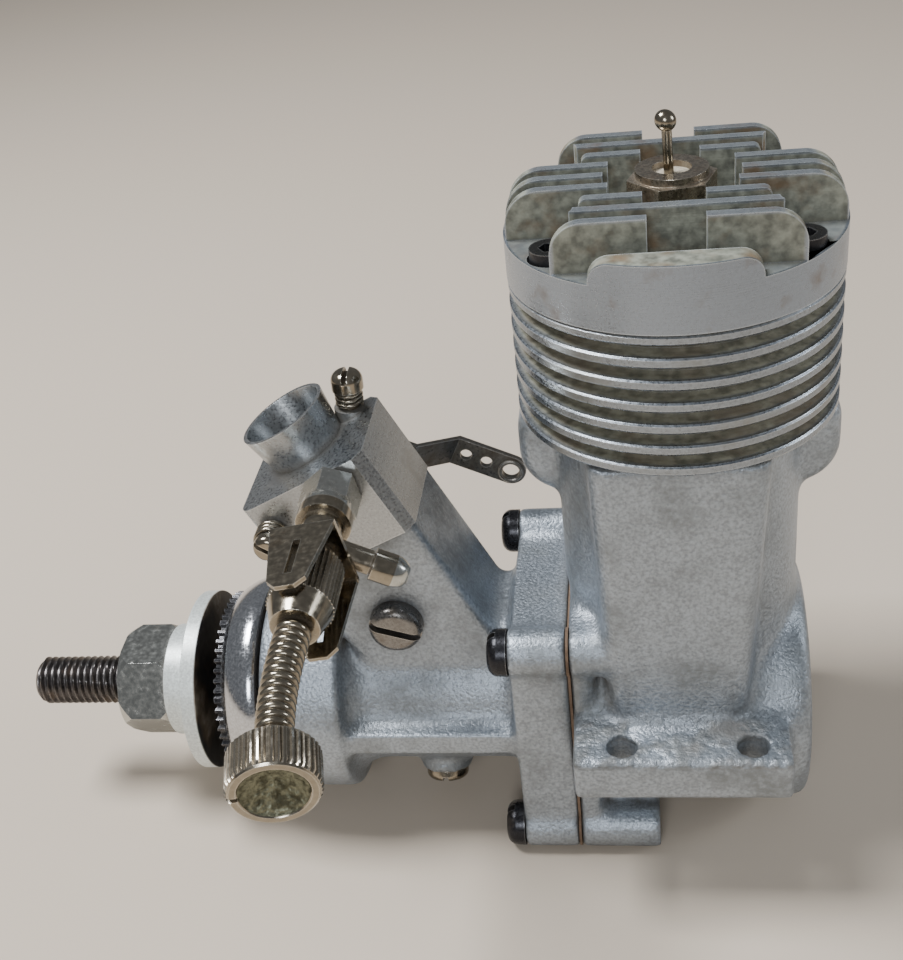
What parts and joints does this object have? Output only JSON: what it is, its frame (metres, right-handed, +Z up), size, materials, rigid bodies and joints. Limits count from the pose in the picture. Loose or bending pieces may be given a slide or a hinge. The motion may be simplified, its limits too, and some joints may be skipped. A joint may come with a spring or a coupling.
{
  "type": "model glow engine",
  "caption": "Two-stroke model aircraft glow engine: finned cylinder, front induction crankcase with beam lugs, throttled carburettor with needle valve, propeller shaft and nut.",
  "frame": {"origin": "centre of the four lug holes on the lugs' underside, where the crankshaft and cylinder axes cross", "axes": "+X along the crankshaft away from the propeller, +Z up the cylinder, +Y towards the exhaust"},
  "size_m": [0.1019, 0.0753, 0.088],
  "materials": {
    "cast_alloy": "fine as-cast grain, satin",
    "machined_alloy": "machined, satin",
    "pale_alloy": "pale etched",
    "rod_alloy": "forged",
    "liner_steel": "ground",
    "piston_iron": "lapped",
    "crank_steel": "dark oiled steel",
    "bronze": "bearing bronze",
    "nickel_plate": "worn nickel plate",
    "plug_steel": "browned plated steel",
    "black_steel": "blackened steel",
    "gasket_paper": "oiled gasket paper",
    "soft_alloy": "soft sheet",
    "copper": "soft copper",
    "insulator": "moulded"
  },
  "bodies": {
    "engine": {"crankcase": "cast_alloy", "cylinder_liner": "liner_steel", "head_gasket": "soft_alloy", "cylinder_head": "machined_alloy", "head_screws": "black_steel", "glow_plug_body": "plug_steel", "glow_plug_washer": "copper", "glow_plug_insulator": "insulator", "glow_plug_terminal": "plug_steel", "glow_plug_coil": "plug_steel", "front_gasket": "gasket_paper", "front_housing": "cast_alloy", "crankshaft_bush": "bronze", "front_housing_screws": "black_steel", "underside_plug": "nickel_plate", "carburettor_seal": "gasket_paper", "carburettor_body": "machined_alloy", "carburettor_screw": "black_steel", "idle_stop_spring": "nickel_plate", "air_bleed_spring": "nickel_plate", "needle_gland": "nickel_plate", "fuel_banjo": "nickel_plate", "ratchet_clip": "nickel_plate"},
    "crank": {"crankshaft": "crank_steel", "drive_washer": "machined_alloy", "propeller_washer": "pale_alloy", "propeller_nut": "nickel_plate"},
    "piston": {"piston": "piston_iron", "wrist_pin": "liner_steel", "wrist_pin_pads": "insulator"},
    "rod": {"connecting_rod": "rod_alloy", "big_end_bush": "bronze", "small_end_bush": "bronze"},
    "throttle": {"throttle_barrel": "nickel_plate", "throttle_arm": "black_steel"},
    "idle_screw": {"idle_stop_screw": "nickel_plate"},
    "bleed_screw": {"air_bleed_screw": "nickel_plate"},
    "needle": {"needle_thimble": "nickel_plate", "needle_valve": "nickel_plate", "needle_extension": "nickel_plate", "needle_knob": "nickel_plate"}
  },
  "joints": [
    {"name": "crankshaft_spin", "type": "hinge", "parent": "engine", "child": "crank", "pos_m": [-0.04, 0, 0], "axis": [1, 0, 0], "continuous": true},
    {"name": "piston_slide", "type": "slide", "parent": "engine", "child": "piston", "axis": [0, 0, 1], "range_m": [0, 0.017]},
    {"name": "rod_swing", "type": "hinge", "parent": "piston", "child": "rod", "pos_m": [0, 0, 0.0265], "axis": [1, 0, 0], "range_deg": [-4, 4]},
    {"name": "throttle_turn", "type": "hinge", "parent": "engine", "child": "throttle", "pos_m": [-0.0396, 0, 0.03009], "axis": [0, 1, 0], "range_deg": [0, 60]},
    {"name": "idle_stop_turn", "type": "hinge", "parent": "engine", "child": "idle_screw", "pos_m": [-0.03702, 0.0032, 0.03757], "axis": [0.02, 0, 0.9998], "range_deg": [-360, 360]},
    {"name": "air_bleed_turn", "type": "hinge", "parent": "engine", "child": "bleed_screw", "pos_m": [-0.04506, -0.009, 0.02965], "axis": [0, -1, 0], "range_deg": [-360, 360]},
    {"name": "needle_turn", "type": "hinge", "parent": "engine", "child": "needle", "pos_m": [-0.0373, -0.0224, 0.03424], "axis": [0, -0.9978, -0.0663], "range_deg": [-540, 900]}
  ]
}
